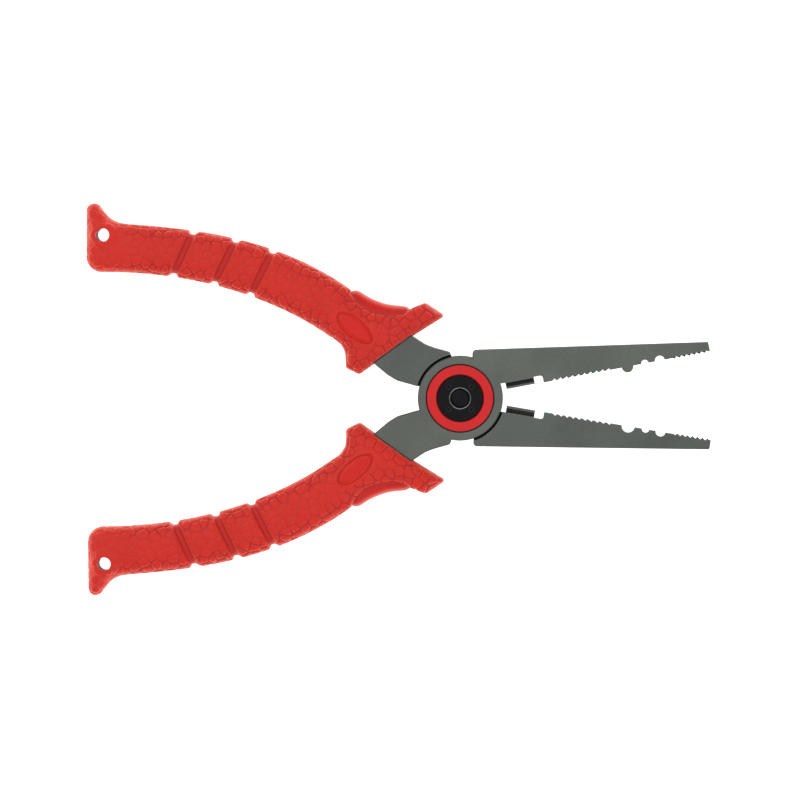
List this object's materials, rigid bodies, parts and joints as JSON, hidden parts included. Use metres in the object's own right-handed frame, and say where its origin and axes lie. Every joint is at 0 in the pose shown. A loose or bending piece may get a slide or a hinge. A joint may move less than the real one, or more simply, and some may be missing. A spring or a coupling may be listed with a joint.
{
  "type": "fishing pliers",
  "caption": "Fishing pliers with long serrated jaws, side cutters, a crimper, a ringed pivot and overmoulded handles with lanyard holes.",
  "frame": {"origin": "centre of the pivot, in the mid-plane between the two hubs", "axes": "+X along the jaws to their tips, +Y towards the upper jaw, +Z out of the front face along the pivot"},
  "size_m": [0.2056, 0.1293, 0.0146],
  "materials": {
    "forged_steel": "matte bead-blasted coating",
    "carbide": "dark satin, ground bevel",
    "screw_steel": "satin",
    "hard_red": "smooth, moulded",
    "soft_red": "soft, pebbled",
    "eyelet_steel": "satin",
    "bronze": "sintered",
    "anodised_red": "anodised, satin",
    "spring_steel": "drawn",
    "black_oxide": "black, satin"
  },
  "bodies": {
    "back_lever": {"lower_jaw_lever": "forged_steel", "lower_cutter": "carbide", "lower_cutter_screws": "screw_steel", "upper_handle_core": "hard_red", "upper_handle_grip": "soft_red", "upper_lanyard_eyelet": "eyelet_steel", "back_bushing": "bronze", "back_pivot_ring": "anodised_red", "pivot_bolt": "black_oxide", "pivot_nut": "black_oxide", "disc_spring": "spring_steel", "thrust_washer": "bronze", "return_spring": "spring_steel"},
    "front_lever": {"upper_jaw_lever": "forged_steel", "upper_cutter": "carbide", "upper_cutter_screws": "screw_steel", "lower_handle_core": "hard_red", "lower_handle_grip": "soft_red", "lower_lanyard_eyelet": "eyelet_steel", "front_bushing": "bronze", "front_pivot_ring": "anodised_red"}
  },
  "joints": [
    {"name": "jaw_hinge", "type": "hinge", "parent": "back_lever", "child": "front_lever", "pos_m": [0, 0, 0], "axis": [0, 0, 1], "range_deg": [-20.2, 25], "stiffness_Nm_per_rad": 0.5, "deforming": ["return_spring"]}
  ]
}
